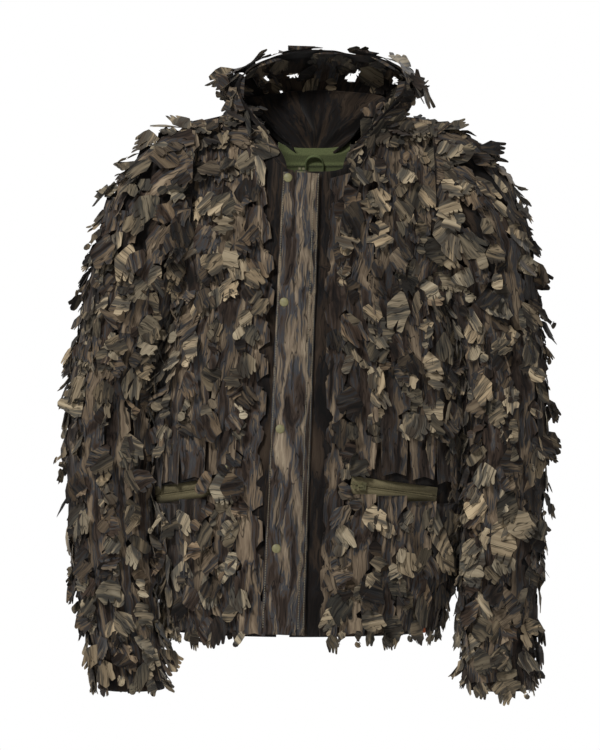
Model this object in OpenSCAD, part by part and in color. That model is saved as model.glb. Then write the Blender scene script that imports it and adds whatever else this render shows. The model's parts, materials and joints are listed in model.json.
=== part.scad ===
// Hooded leaf-cut camouflage jacket, built as the separate pieces it is sewn from.
// Millimetres, +Z up, front faces -Y. The origin is the seat of the hanging loop at the back neck.
// "Right" and "left" are the wearer's: the right side lies at -X.

/* [Body] */
// Drop of the hem below the hanging loop
hem_drop = 684; // [670:1:690]
// Half width of the body at the hem
hem_half_w = 190; // [184:1:192]
// Half width of the body at the pockets
waist_half_w = 220; // [214:1:222]
// Front depth of the body at the neck
neck_depth = 81; // [78:1:84]
// Depth of the back half of the body
back_depth = 122; // [118:1:126]
// Height of the shoulder seam at the neck
shoulder_h = 52; // [48:1:54]
// Thickness the shell cloth is drawn at
cloth_t = 2; // [1.6:0.1:2.4]

/* [Sleeves] */
// Depth radius of the sleeve at the upper arm
arm_r = 60; // [54:1:62]
// Depth radius of the sleeve at the cuff
cuff_r = 45; // [40:1:48]
// Drop of the sleeve end below the hanging loop
cuff_drop = 766; // [760:1:768]
// Height of the turned cuff
cuff_h = 30; // [24:1:36]

/* [Hood] */
// Height of the brim's crown above the hanging loop
brim_h = 150; // [146:1:156]
// Half width of the face opening where its edges leave the neck seam
throat_half_w = 40; // [38:1:44]

/* [Front opening] */
// Width of the storm flap at its top
flap_top_w = 52; // [48:1:56]
// Width of the storm flap at the hem
flap_hem_w = 60; // [56:1:64]
// Length of the main zip's chain
main_zip_len = 634; // [620:1:640]
// Diameter of a snap cap
snap_d = 12.5; // [12:0.1:14]

/* [Pockets] */
// Length of a pocket zip's chain
pocket_zip_len = 116; // [108:1:118]
// Depth of the pocket bag below its zip
bag_drop = 120; // [100:1:124]

/* [Leaf strips] */
// Width of a leaf strip at its widest
strip_w = 46; // [36:1:50]
// Distance from one leaf to the next along a strip
leaf_pitch = 44; // [40:1:60]
// How far the leaves stand out from the shell
leaf_stand = 13; // [8:1:14]

/* [Hidden] */
$fn = 32;

FRONT = -1;
BACK = 1;
RIGHT = -1;
LEFT = 1;

// The body's plan is an ellipse about this line, which drifts sideways towards the hem
body_y = -76;
body_lean = 0.024;
// The front edge runs straight down and forward from the neck
front_neck_z = -31;
front_slope = 4.2;
// Armhole: a flat mouth at this half width, from the armpit up to the shoulder
armhole_x = 165;
armhole_h = 38;
armpit_z = -190;
yoke_z = -150;
neck_half_w = 96;
// Angles left open at the seams, so that neighbouring pieces don't touch
seam_deg = 0.5;

// The zip line: its top, its sideways lean and its half gap between the front edges
zip_x = -19;
zip_lean = 2.3;
front_gap = 9;
zip_top = [zip_x, body_y - neck_depth, front_neck_z];

// Elbow: hinge line across the sleeve, and the wedge cut out in front of it
elbow_z = -430;
elbow_y = -84;
elbow_wedge = 30;
elbow_gap = 1;

// Zip sizes
tape_t = 0.8;
tooth_pitch = 6;
tooth_reach = 2.4;
chain_t = 3.4;
pull_t = 1.4;
pocket_slope = 8;
pocket_z = -474;
// Ring angles of the two ends of each pocket mouth, right pocket then left pocket
pocket_angles = [[31, 72], [19, 57]];

snap_z = [-44, -219, -396, -562];
side_snap_z = -449;
side_snap_x = -125;

function mix(a, b, t) = a + (b - a) * t;
function clamp01(t) = min(1, max(0, t));
function ease(t) = let (c = clamp01(t)) c * c * (3 - 2 * c);
function unit(v) = v / norm(v);

// ---------- surfaces ----------

function half_w(z) = lookup(z, [
    [-hem_drop, hem_half_w], [-620, waist_half_w - 16], [-480, waist_half_w],
    [-350, waist_half_w - 4], [-260, 205], [armpit_z, 186], [yoke_z, 200], [60, 200]
]);
function front_depth(z) = neck_depth + (front_neck_z - z) * tan(front_slope);
function depth(z, facing) = facing == FRONT ? front_depth(z) : back_depth;
function shoulder_z(x) = mix(shoulder_h, armhole_h, clamp01((abs(x) - neck_half_w) / 74));
function neck_turn(x, facing) = mix(facing == FRONT ? 35.5 : 49, 90 - seam_deg, pow(clamp01(abs(x) / neck_half_w), 4));

// Point on the body below the yoke line: ring angle phi from the centre line, -90 right to 90 left
function body_low(z, phi, facing) =
    [body_lean * z + half_w(z) * sin(phi), body_y + facing * depth(z, facing) * cos(phi), z];

// Point above the yoke line: k runs from 0 at the line to 1 at the neck or shoulder seam
function body_high(k, phi, facing) = let (
    x = half_w(yoke_z) * sin(phi),
    turn = k * neck_turn(x, facing),
    z = yoke_z + (shoulder_z(x) - yoke_z) * sin(turn),
    round_in = facing == FRONT ? pow(cos(turn), 1.8) : pow(cos(turn), 0.8),
    keep = facing == FRONT ? mix(1, round_in, ease((abs(x) - throat_half_w) / (neck_half_w - throat_half_w))) : round_in
) [x + body_lean * z, body_y + facing * depth(z, facing) * cos(phi) * keep, z];

// s runs 0..1 from the hem to the yoke line and on at the same rate towards the top
high_rate = 2.6;
function body(s, phi, facing) = s <= 1 ? body_low(mix(-hem_drop, yoke_z, s), phi, facing)
    : body_high((s - 1) * high_rate, phi, facing);

// Ring angle where a panel ends: the side seam below the armpit, the armhole above it
function end_angle(z) = z <= armpit_z ? 90 - seam_deg : asin(armhole_x / half_w(min(z, yoke_z)));
function front_edge_angle(z, side) =
    asin((zip_x + (z - front_neck_z) * sin(zip_lean) + side * front_gap - body_lean * z) / half_w(min(z, yoke_z)));

// Sleeve rings from the armhole to the cuff: inner x, inner z, outer x, outer z, middle y, depth radius
sleeve_rings = [
    [178, -181, 167, 37, body_y, arm_r - 4],
    [190, -188, 214, 24, body_y, arm_r],
    [192, -195, 250, -6, body_y, arm_r + 1],
    [192, -202, 280, -54, body_y, arm_r],
    [191, -212, 301, -112, body_y, arm_r],
    [191, -226, 313, -180, body_y, arm_r],
    [204, -262, 321, -258, body_y, arm_r],
    [217, -340, 328, -340, -78, arm_r - 3],
    [218, elbow_z, 327, elbow_z, -82, arm_r - 5],
    [212, -520, 322, -520, -88, arm_r - 7],
    [208, -620, 314, -620, -96, cuff_r + 5],
    [214, -700, 308, -700, -102, cuff_r + 1],
    [217, -cuff_drop, 307, -cuff_drop, -106, cuff_r]
];
ELBOW = 8;
CUFF = len(sleeve_rings) - 1;
// The right sleeve hangs further out from the body than the left one
function spread(z, side) = side == LEFT ? 0
    : lookup(z, [[-cuff_drop, -2], [-700, 8], [-620, 22], [-520, 24], [-340, 20], [armpit_z, 7.5], [-60, 1.5], [40, 0.6]]);
function ring_at(s) = let (i = min(CUFF - 1, floor(s))) mix(sleeve_rings[i], sleeve_rings[i + 1], s - i);
// w is the angle round the sleeve: 0 outside, 90 back, 180 inside, 270 front
function sleeve(s, w, side) = let (
    r = ring_at(s),
    x = mix(r[0], r[2], (1 + cos(w)) / 2),
    z = mix(r[1], r[3], (1 + cos(w)) / 2)
) [side * (x + spread(z, side)), r[4] + r[5] * sin(w), z];
function cuff_ring(z) = mix(CUFF - 1, CUFF, (z + 700) / (700 - cuff_drop));

// Hood: f runs from the back neck seam to the brim, t from the right neck seam over the crown to the left
hood_crown = [[0, 8], [0.2, 52], [0.4, 96], [0.6, 126], [0.8, brim_h - 6], [1, brim_h]];
hood_spine = [[0, 14], [0.2, 24], [0.4, 33], [0.6, 24], [0.8, -14], [1, -60]];
hood_bulge = [[0, 0], [0.2, 24], [0.4, 53], [0.6, 75], [0.8, 90], [1, 97]];
hood_back_angle = 10;
hood_front_angle = 180 - asin(throat_half_w / neck_half_w);
hood_lean = 0.1;
neck_clear = 2;
function neck_seam(x, facing) = body_high(1, asin(x / half_w(yoke_z)), facing) + [0, 0, neck_clear];
function hood(f, t) = let (
    turn = mix(hood_back_angle, hood_front_angle, f),
    w = neck_half_w * sin(turn),
    seam = neck_seam(w, turn > 90 ? FRONT : BACK),
    x = w * sin(t) + lookup(f, hood_bulge) * sin(2 * t) * (1 - 1.15 * pow(t / 90, 4)),
    y = mix(seam[1], lookup(f, hood_spine), cos(t)),
    z = mix(seam[2], lookup(f, hood_crown), cos(t))
) [x + hood_lean * max(0, z), y, z];

// ---------- cloth ----------

function step(g, i, j, di, dj, wrap) = let (
    rows = len(g),
    cols = len(g[0]),
    i1 = min(rows - 1, i + di),
    i0 = max(0, i - di),
    j1 = wrap ? (j + dj) % cols : min(cols - 1, j + dj),
    j0 = wrap ? (j - dj + cols) % cols : max(0, j - dj)
) g[i1][j1] - g[i0][j0];
function grid_normal(g, i, j, wrap) = unit(cross(step(g, i, j, 0, 1, wrap), step(g, i, j, 1, 0, wrap)));
function quad(a, b, c, d) = [[a, b, c], [a, c, d]];
function joined(lists) = [for (l = lists) for (item = l) item];

// A sheet through a grid of points on its outer face, thickened away from the normals.
// With wrap the last column is sewn to the first, which makes a tube.
module cloth(g, t = cloth_t, wrap = false) {
    rows = len(g);
    cols = len(g[0]);
    n = rows * cols;
    span = wrap ? cols : cols - 1;
    function at(i, j) = i * cols + j % cols;
    outer = joined(g);
    inner = [for (i = [0:rows - 1]) for (j = [0:cols - 1]) g[i][j] - t * grid_normal(g, i, j, wrap)];
    skin = joined([for (i = [0:rows - 2]) for (j = [0:span - 1])
        quad(at(i, j), at(i + 1, j), at(i + 1, j + 1), at(i, j + 1))]);
    lining = [for (f = skin) [f[2] + n, f[1] + n, f[0] + n]];
    ends = joined([for (j = [0:span - 1]) concat(
        quad(at(0, j), at(0, j + 1), at(0, j + 1) + n, at(0, j) + n),
        quad(at(rows - 1, j + 1), at(rows - 1, j), at(rows - 1, j) + n, at(rows - 1, j + 1) + n))]);
    sides = wrap ? [] : joined([for (i = [0:rows - 2]) concat(
        quad(at(i + 1, 0), at(i, 0), at(i, 0) + n, at(i + 1, 0) + n),
        quad(at(i, cols - 1), at(i + 1, cols - 1), at(i + 1, cols - 1) + n, at(i, cols - 1) + n))]);
    polyhedron(points = concat(outer, inner), faces = concat(skin, lining, ends, sides));
}

// A ribbon of leaves on a surface point(s, a): it swells and stands out at every leaf
module leaf_strip(point, s0, s1, a_mid, a_half, out) {
    run = norm(point(s1, a_mid) - point(s0, a_mid));
    count = max(2, 2 * round(run / leaf_pitch));
    cloth([for (j = [0:count]) let (
        s = mix(s0, s1, j / count),
        leaf = j % 2,
        rise = mix(4, leaf_stand, leaf),
        normal = out * unit(cross(point(s, a_mid + 1) - point(s, a_mid - 1),
            point(s + 0.01, a_mid) - point(s - 0.01, a_mid)))
    ) [for (e = [-1, 1]) point(s, a_mid + out * e * a_half * mix(0.35, 1, leaf)) + rise * normal]]);
}

// ---------- body pieces ----------

body_zs = [-hem_drop, -620, -550, -480, -410, -350, -300, -250, armpit_z, yoke_z];
high_steps = 5;
module body_piece(facing, from_angle, cols, flip) {
    low = [for (z = body_zs) [for (j = [0:cols])
        body_low(z, mix(from_angle(z), (flip ? -1 : 1) * end_angle(z), j / cols), facing)]];
    high = [for (k = [1:high_steps]) [for (j = [0:cols])
        body_high(k / high_steps, mix(from_angle(yoke_z), (flip ? -1 : 1) * end_angle(yoke_z), j / cols), facing)]];
    g = concat(low, high);
    outward = (facing == FRONT) != flip;
    cloth(outward ? g : [for (row = g) [for (j = [cols:-1:0]) row[j]]]);
}

module front_panel(side) {
    difference() {
        body_piece(FRONT, function(z) front_edge_angle(z, side), 8, side == RIGHT);
        at_pocket(side) translate([-14, -20, -12.5]) cube([pocket_zip_len + 20, 40, 25]);
        if (side == RIGHT) {
            for (z = snap_z) at_snap(z) rotate([90, 0, 0]) cylinder(r = 2.2, h = 30, center = true);
            at_side_snap() rotate([90, 0, 0]) cylinder(r = 2.2, h = 30, center = true);
        }
    }
}

module front_right_panel() { color("#4a3d33") front_panel(RIGHT); }
module front_left_panel() { color("#4f4237") front_panel(LEFT); }
module back_panel() {
    color("#463a30") body_piece(BACK, function(z) -end_angle(z), 16, false);
}

// Knit facing sewn inside the back neck
module neck_facing() {
    inset = 5;
    color("#535a3b") cloth([for (k = [0.72:0.065:0.98]) [for (phi = [20:-5:-20])
        body_high(k, phi, BACK) - [0, inset, 0]]], 1.6);
}

// Loop of twill tape: the hook bears on the inside of its crown, at the origin
module hanger_loop() {
    loop_r = 12;
    tape = [1.4, 5];
    color("#3c3a2c") rotate([90 + 32, 0, 0]) {
        translate([0, -loop_r, 0]) rotate_extrude(angle = 180)
            translate([loop_r, -tape[1] / 2]) square(tape);
        for (x = [-loop_r - tape[0], loop_r])
            translate([x, -loop_r - 10, -tape[1] / 2]) cube([tape[0], 10, tape[1]]);
    }
}

// ---------- hood ----------

module hood_shell() {
    color("#41362c") cloth([for (i = [0:12]) [for (t = [90:-10:-90]) hood(i / 12, t * 0.985)]]);
}

// ---------- sleeves ----------

sleeve_sides = 16;
function sleeve_ring(s, side) = [for (j = [0:sleeve_sides - 1]) sleeve(s, side * j * 360 / sleeve_sides, side)];
// The elbow edges lean away from each other in front of the hinge line
function elbow_ring(side, way) = [for (p = sleeve_ring(ELBOW, side))
    [p[0], p[1], elbow_z + way * (elbow_gap + max(0, elbow_y - p[1]) * tan(elbow_wedge))]];

module upper_sleeve(side) {
    cloth(concat([elbow_ring(side, 1)], [for (s = [ELBOW - 1:-1:0]) sleeve_ring(s, side)]), wrap = true);
}
module lower_sleeve(side) {
    cloth(concat([sleeve_ring(cuff_ring(-cuff_drop + cuff_h + 1), side)],
        [for (s = [CUFF - 1:-1:ELBOW + 1]) sleeve_ring(s, side)], [elbow_ring(side, -1)]), wrap = true);
}
module cuff(side) {
    cloth([sleeve_ring(CUFF, side), sleeve_ring(cuff_ring(-cuff_drop + cuff_h), side)], wrap = true);
}
module upper_sleeve_right() { color("#4a3e34") upper_sleeve(RIGHT); }
module upper_sleeve_left() { color("#4a3e34") upper_sleeve(LEFT); }
module lower_sleeve_right() { color("#44392f") lower_sleeve(RIGHT); }
module lower_sleeve_left() { color("#44392f") lower_sleeve(LEFT); }
module cuff_right() { color("#3a3029") cuff(RIGHT); }
module cuff_left() { color("#3a3029") cuff(LEFT); }

// ---------- front opening ----------

// Places children on the zip line: X runs down the zip, -Y is outward, Z is towards the left front
module on_zip_line() {
    translate(zip_top) rotate([-front_slope, zip_lean, 0]) rotate([0, 90, 0]) children();
}
function along_zip(z) = (front_neck_z - z) / (cos(front_slope) * cos(zip_lean));

flap_start = along_zip(-36);
flap_end = along_zip(-hem_drop + 4);
// Height of the flap's outer face over the shell, from the free edge to the sewn edge
flap_rise = [10, 10, 10, 12, 9, 4.6];
module storm_flap() {
    steps = 12;
    across = len(flap_rise) - 1;
    color("#54463a") difference() {
        on_zip_line() cloth([for (j = [0:across]) [for (i = [0:steps]) let (
            x = mix(flap_start, flap_end, i / steps),
            w = mix(flap_top_w, flap_hem_w, i / steps)
        ) [x, -flap_rise[j], w * (j / across - 0.5)]]]);
        for (z = snap_z) at_snap(z) rotate([90, 0, 0]) cylinder(r = 2.2, h = 40, center = true);
    }
}

// One row of teeth as a comb with its root cord, reaching towards the zip's middle
module teeth_row(length, gap, shift) {
    cord_w = 1.6;
    count = floor(length / tooth_pitch) - 1;
    root = gap + tooth_reach;
    comb = concat([[0, root + cord_w], [0, root]],
        joined([for (i = [0:count]) let (x = i * tooth_pitch + shift)
            [[x + 1, root], [x + 1, gap], [x + 3.4, gap], [x + 3.4, root]]]),
        [[length, root], [length, root + cord_w]]);
    translate([0, chain_t / 2, 0]) rotate([90, 0, 0]) linear_extrude(chain_t) polygon(comb);
}
module tape_strip(length, from, width) {
    translate([0, -tape_t / 2, from]) cube([length, tape_t, width]);
}

chain_depth = 3;
tape_from = 4.8;
module main_tape() { translate([0, chain_depth, 0]) tape_strip(main_zip_len, tape_from + 0.2, 3.6); }
module main_teeth() { translate([0, chain_depth, 0]) teeth_row(main_zip_len, 0.8, 0.6); }
module main_zip_tape_left() { color("#3b342b") on_zip_line() main_tape(); }
module main_zip_tape_right() { color("#3b342b") on_zip_line() mirror([0, 0, 1]) main_tape(); }
module main_zip_teeth_left() { color("#2e2a24") on_zip_line() main_teeth(); }
module main_zip_teeth_right() { color("#2e2a24") on_zip_line() mirror([0, 0, 1]) main_teeth(); }
module main_zip_top_stops() {
    color("#8b8458") on_zip_line() for (side = [-1, 1])
        translate([-3.6, chain_depth - 1.2, side > 0 ? 1 : -4.4]) cube([3.2, 2.4, 3.4]);
}
module main_zip_bottom_box() {
    color("#8b8458") on_zip_line() translate([main_zip_len + 0.4, chain_depth - 2, -5]) cube([9, 4, 10]);
}

// Slider: front and back plates with side flanges, joined by a thin web between the rows of teeth
module slider_body(length, half_w) {
    shell = 1.3;
    clear = 0.4;
    top = chain_t / 2 + clear;
    slot = 0.5;
    for (way = [-1, 1]) {
        translate([0, way > 0 ? top : -top - shell, -half_w]) cube([length, shell, 2 * half_w]);
        for (side = [-1, 1])
            translate([0, way > 0 ? tape_t / 2 + slot : -top, side > 0 ? half_w - 0.5 : -half_w])
                cube([length, top - tape_t / 2 - slot, 0.5]);
    }
    translate([0, -top - 0.1, -0.4]) cube([2.2, 2 * top + 0.2, 0.8]);
}
module slider_bail(length) {
    top = chain_t / 2 + 0.4 + 1.3;
    for (side = [-1, 1])
        translate([length / 2 - 2, -top - 2.4, side > 0 ? 2.4 : -3.6]) cube([4, 2.5, 1.2]);
}
bail_y = 5.05;
pin_r = 0.7;

slider_len = 10;
slider_half_w = 6;
module main_zip_slider() {
    color("#8b8458") on_zip_line() translate([2, chain_depth, 0]) difference() {
        union() {
            slider_body(slider_len, slider_half_w);
            slider_bail(slider_len);
        }
        translate([slider_len / 2, -bail_y + 0.3, 0]) cylinder(r = pin_r + 0.08, h = 12, center = true);
    }
}
// Pull: a flat tag on a cross pin that turns in the slider's ears
module pull_tag(length, width) {
    cylinder(r = pin_r, h = 7.2, center = true);
    translate([0, -0.7, -1.6]) cube([4, pull_t, 3.2]);
    translate([3.6, -0.7, 0]) rotate([-90, 0, 0]) linear_extrude(pull_t) difference() {
        translate([0, -width / 2]) square([length, width]);
        translate([length - 5, 0]) circle(r = 1.8);
    }
}
module main_zip_pull() {
    color("#8b8458") on_zip_line()
        translate([2 + slider_len / 2, chain_depth - bail_y + 0.3, 0]) pull_tag(22, 6.4);
}

// ---------- snaps ----------

function snap_side(z) = -flap_top_w / 2 + 7.5 + 5 * (z - snap_z[0]) / (snap_z[3] - snap_z[0]);
// Places children at a snap: the local origin is on the flap's inner face
snap_level = 8;
module at_snap(z) {
    on_zip_line() translate([along_zip(z), -snap_level, snap_side(z)]) children();
}
module snap_dome(d) {
    rotate([90, 0, 0]) rotate_extrude() polygon([
        [0, 0], [d / 2 - 0.4, 0], [d / 2, 0.5], [d / 2 - 0.5, 1.2], [d / 3, 2], [d / 6, 2.4], [0, 2.5]
    ]);
}
module snap_caps() {
    color("#8b8458") for (z = snap_z) at_snap(z) {
        translate([0, -cloth_t - 0.2, 0]) snap_dome(snap_d);
        translate([0, -cloth_t - 0.3, 0]) rotate([-90, 0, 0]) cylinder(r = 1.8, h = cloth_t + 0.6);
    }
}
module snap_sockets() {
    color("#6f6a48") for (z = snap_z) at_snap(z) translate([0, 0.3, 0]) rotate([-90, 0, 0]) difference() {
        cylinder(r = 5.5, h = 2.6);
        translate([0, 0, 0.8]) cylinder(r = 3.3, h = 3);
    }
}
module snap_studs() {
    color("#6f6a48") for (z = snap_z) at_snap(z) translate([0, 1.5, 0]) rotate([-90, 0, 0]) {
        cylinder(r = 2.9, h = 1.8);
        translate([0, 0, 1.7]) cylinder(r = 5, h = 2.2);
        translate([0, 0, 3.8]) cylinder(r = 1.8, h = 8.4);
        translate([0, 0, 12.1]) cylinder(r = 4, h = 1);
    }
}
module at_side_snap() {
    phi = asin((side_snap_x - body_lean * side_snap_z) / half_w(side_snap_z));
    translate(body_low(side_snap_z, phi, FRONT)) rotate([-front_slope, 0, -24]) children();
}
module side_snap() {
    color("#8b8458") at_side_snap() {
        translate([0, -0.6, 0]) snap_dome(snap_d);
        translate([0, -0.7, 0]) rotate([-90, 0, 0]) cylinder(r = 1.8, h = 4.8);
        translate([0, 4, 0]) rotate([-90, 0, 0]) cylinder(r = 4.5, h = 1.4);
    }
}

// ---------- pockets ----------

// Places children at a pocket mouth: X runs from its inner end to the side seam, -Y is outward
module at_pocket(side, slope = pocket_slope) {
    angles = side == RIGHT ? pocket_angles[0] : pocket_angles[1];
    inner = body_low(pocket_z, side * angles[0], FRONT);
    outer = body_low(pocket_z, side * angles[1], FRONT);
    turn = atan2(outer[1] - inner[1], side * (outer[0] - inner[0]));
    translate(inner) mirror([side == RIGHT ? 1 : 0, 0, 0]) rotate([0, 0, turn]) rotate([0, slope, 0])
        children();
}
pocket_slider_len = 9;
pocket_slider_half_w = 5.6;
module at_level() { translate([0, -2, 0]) children(); }
module pocket_tapes_of(side) {
    at_pocket(side) at_level() for (way = [0, 1]) mirror([0, 0, way])
        tape_strip(pocket_zip_len, tape_from + 0.2, 6.6);
}
module pocket_teeth_of(side) {
    at_pocket(side) at_level() for (way = [0, 1]) mirror([0, 0, way]) teeth_row(pocket_zip_len, 0.8, 0.6);
}
module pocket_slider_of(side) {
    at_pocket(side) at_level() translate([1, 0, 0]) difference() {
        union() {
            slider_body(pocket_slider_len, pocket_slider_half_w);
            slider_bail(pocket_slider_len);
        }
        translate([pocket_slider_len / 2, -bail_y + 0.3, 0])
            cylinder(r = pin_r + 0.08, h = 12, center = true);
    }
}
// Ring pull: a short tab with a round ring, lying back along the zip
module pocket_pull_of(side) {
    ring_r = 5;
    at_pocket(side) at_level() translate([1 + pocket_slider_len / 2, -bail_y + 0.3, 0]) mirror([1, 0, 0]) {
        cylinder(r = pin_r, h = 7.2, center = true);
        translate([0, -0.7, -1.6]) cube([7.4, pull_t, 3.2]);
        translate([7 + ring_r, -0.7, 0]) rotate([-90, 0, 0]) difference() {
            cylinder(r = ring_r, h = pull_t);
            translate([0, 0, -1]) cylinder(r = ring_r - 1.8, h = pull_t + 2);
        }
    }
}
module pocket_bag_of(side) {
    wall = 1.2;
    room = [pocket_zip_len - 8, 20, bag_drop];
    at_pocket(side, 0) translate([2, 11.5, -bag_drop - 6]) difference() {
        translate([-wall, -wall, -wall]) cube([room[0] + 2 * wall, room[1] + 2 * wall, room[2] + wall]);
        cube(room + [0, 0, 1]);
    }
}
module pocket_tapes_right() { color("#6f6743") pocket_tapes_of(RIGHT); }
module pocket_tapes_left() { color("#6f6743") pocket_tapes_of(LEFT); }
module pocket_teeth_right() { color("#5d573b") pocket_teeth_of(RIGHT); }
module pocket_teeth_left() { color("#5d573b") pocket_teeth_of(LEFT); }
module pocket_slider_right() { color("#8b8458") pocket_slider_of(RIGHT); }
module pocket_slider_left() { color("#8b8458") pocket_slider_of(LEFT); }
module pocket_pull_right() { color("#8b8458") pocket_pull_of(RIGHT); }
module pocket_pull_left() { color("#8b8458") pocket_pull_of(LEFT); }
module pocket_bag_right() { color("#3a3029") pocket_bag_of(RIGHT); }
module pocket_bag_left() { color("#3a3029") pocket_bag_of(LEFT); }

// ---------- trim ----------

module chest_bartack() {
    phi = asin((91 - body_lean * yoke_z) / half_w(yoke_z));
    color("#a39a80") translate(body_low(yoke_z, phi, FRONT)) rotate([0, 0, 16])
        translate([-12, -2.4, 1]) cube([24, 1, 1.6]);
}
module hem_tab() {
    phi = asin((152 + body_lean * hem_drop) / half_w(-hem_drop + 6));
    color("#b5603a") translate(body_low(-hem_drop + 6, phi, FRONT)) rotate([0, 0, 48])
        translate([-4, -2.2, -6]) cube([8, 1, 9]);
}

// ---------- leaf strips ----------

module body_strips(facing, columns) {
    for (c = columns) leaf_strip(function(s, a) body(s, a, facing), c[1], c[2], c[0],
        strip_w / 2 / waist_half_w * 57.3, facing == FRONT ? 1 : -1);
}
// Columns of strips: ring angle, start and end level
module leaves_front_right() {
    color("#8a7f6a") body_strips(FRONT, [[-26, 0.02, 0.36], [-26, 0.45, 1.16], [-41, 0.02, 0.3],
        [-41, 0.46, 1.3], [-57, 0.02, 0.28], [-53, 0.5, 0.9]]);
}
module leaves_front_left() {
    color("#8a7f6a") body_strips(FRONT, [[21, 0.02, 0.33], [21, 0.47, 1.13], [35, 0.02, 0.33],
        [35, 0.47, 1.3], [51, 0.02, 0.31], [50, 0.48, 0.9]]);
}
module leaves_back() {
    color("#8a7f6a") body_strips(BACK, [for (phi = [-57, 57]) [phi, 0.02, 0.86]]);
    color("#8a7f6a") body_strips(BACK, [for (phi = [-42, -28, -14, 0, 14, 28, 42]) [phi, 0.02, 1.16]]);
}
module sleeve_strips(side, s0, s1, angles) {
    for (w = angles) leaf_strip(function(s, a) sleeve(s, a, side), s0, s1, w, 22, -side);
}
module leaves_upper_sleeve_right() { color("#8a7f6a") sleeve_strips(RIGHT, 7.3, 1.4, [-70, -25, 25, 70]); }
module leaves_upper_sleeve_left() { color("#8a7f6a") sleeve_strips(LEFT, 7.3, 1.4, [-70, -25, 25, 70]); }
module leaves_lower_sleeve_right() { color("#8a7f6a") sleeve_strips(RIGHT, 11.4, 8.9, [-70, -25, 25, 70]); }
module leaves_lower_sleeve_left() { color("#8a7f6a") sleeve_strips(LEFT, 11.4, 8.9, [-70, -25, 25, 70]); }
module leaves_hood() {
    color("#8a7f6a") for (t = [-60, -36, -12, 12, 36, 60])
        leaf_strip(function(f, a) hood(f, a), 0.98, 0.4, t, 9, -1);
}

front_right_panel();
front_left_panel();
back_panel();
neck_facing();
hanger_loop();
hood_shell();
upper_sleeve_right();
upper_sleeve_left();
lower_sleeve_right();
lower_sleeve_left();
cuff_right();
cuff_left();
storm_flap();
main_zip_tape_right();
main_zip_tape_left();
main_zip_teeth_right();
main_zip_teeth_left();
main_zip_top_stops();
main_zip_bottom_box();
main_zip_slider();
main_zip_pull();
snap_caps();
snap_sockets();
snap_studs();
side_snap();
pocket_tapes_right();
pocket_tapes_left();
pocket_teeth_right();
pocket_teeth_left();
pocket_slider_right();
pocket_slider_left();
pocket_pull_right();
pocket_pull_left();
pocket_bag_right();
pocket_bag_left();
chest_bartack();
hem_tab();
leaves_front_right();
leaves_front_left();
leaves_back();
leaves_hood();
leaves_upper_sleeve_right();
leaves_upper_sleeve_left();
leaves_lower_sleeve_right();
leaves_lower_sleeve_left();
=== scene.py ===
import json
import random
import bpy
import bmesh
from math import asin, atan2, copysign, cos, exp, pi, radians, sin, tan
from mathutils import Vector, Matrix, noise, geometry


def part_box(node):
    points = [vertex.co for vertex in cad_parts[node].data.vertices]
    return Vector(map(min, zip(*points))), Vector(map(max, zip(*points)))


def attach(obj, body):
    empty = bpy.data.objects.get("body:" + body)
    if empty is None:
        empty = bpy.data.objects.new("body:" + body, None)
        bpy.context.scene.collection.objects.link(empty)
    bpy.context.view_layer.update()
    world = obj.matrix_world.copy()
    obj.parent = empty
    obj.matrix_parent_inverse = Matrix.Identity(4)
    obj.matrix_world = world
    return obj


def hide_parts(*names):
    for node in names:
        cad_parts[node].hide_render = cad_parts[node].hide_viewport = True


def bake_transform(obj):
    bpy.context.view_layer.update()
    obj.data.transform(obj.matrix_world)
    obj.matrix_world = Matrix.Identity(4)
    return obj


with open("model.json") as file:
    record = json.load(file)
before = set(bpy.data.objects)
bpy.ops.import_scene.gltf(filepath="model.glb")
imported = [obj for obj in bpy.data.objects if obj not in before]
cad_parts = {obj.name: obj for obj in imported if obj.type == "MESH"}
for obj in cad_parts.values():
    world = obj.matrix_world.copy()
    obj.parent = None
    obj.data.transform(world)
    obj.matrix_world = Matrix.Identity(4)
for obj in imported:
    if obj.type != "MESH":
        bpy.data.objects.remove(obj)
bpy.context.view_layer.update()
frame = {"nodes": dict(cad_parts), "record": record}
MM = 0.001

# ---------- Camera ----------
# A long lens level with the middle of the jacket, so that it is seen straight on. It stands well back, and its
# upright frame holds the whole jacket with some room around it.
def new_object(name, data):
    obj = bpy.data.objects.new(name, data)
    bpy.context.collection.objects.link(obj)
    return obj


middle = Vector((-0.021, -0.12, -0.3195))
CAMERA_AWAY = 4.0
VIEW_HEIGHT = 1.065
camera_data = bpy.data.cameras.new("camera")
camera_data.sensor_fit = "VERTICAL"
camera_data.sensor_height = 36.0
camera_data.lens = camera_data.sensor_height * CAMERA_AWAY / VIEW_HEIGHT
camera_data.clip_end = 50.0
camera = new_object("camera", camera_data)
camera.location = middle + Vector((0.0, -CAMERA_AWAY, 0.0))
camera.rotation_euler = (radians(90.0), 0.0, 0.0)
bpy.context.scene.camera = camera


# ---------- Shell cloth: right front, left front and back ----------
# Printed woven polyester, cut as flat panels and sewn at the sides and shoulders. It hangs from the
# shoulders in soft upright folds. The shapes below follow the frame's own panels.
hem_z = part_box("back_panel")[0][2]
hem_half_w = 0.190
waist_half_w = (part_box("back_panel")[1][0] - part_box("back_panel")[0][0]) / 2
BODY_Y = -0.076
NECK_DEPTH = 0.081
BACK_DEPTH = 0.122
FRONT_NECK_Z = -0.031
FRONT_SLOPE = radians(4.2)
BODY_LEAN = 0.024
YOKE_Z = -0.150
ARMPIT_Z = -0.190
ARMHOLE_X = 0.165
YOKE_HALF_W = 0.200
SHOULDER_Z = 0.052
ARMHOLE_Z = 0.038
NECK_HALF_W = 0.096
THROAT_HALF_W = 0.040
FRONT, BACK = -1, 1
RIGHT, LEFT = -1, 1
HIGH_RATE = 2.6


def mix(a, b, t):
    return a + (b - a) * t


def ease(t):
    t = min(1.0, max(0.0, t))
    return t * t * (3 - 2 * t)


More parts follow.
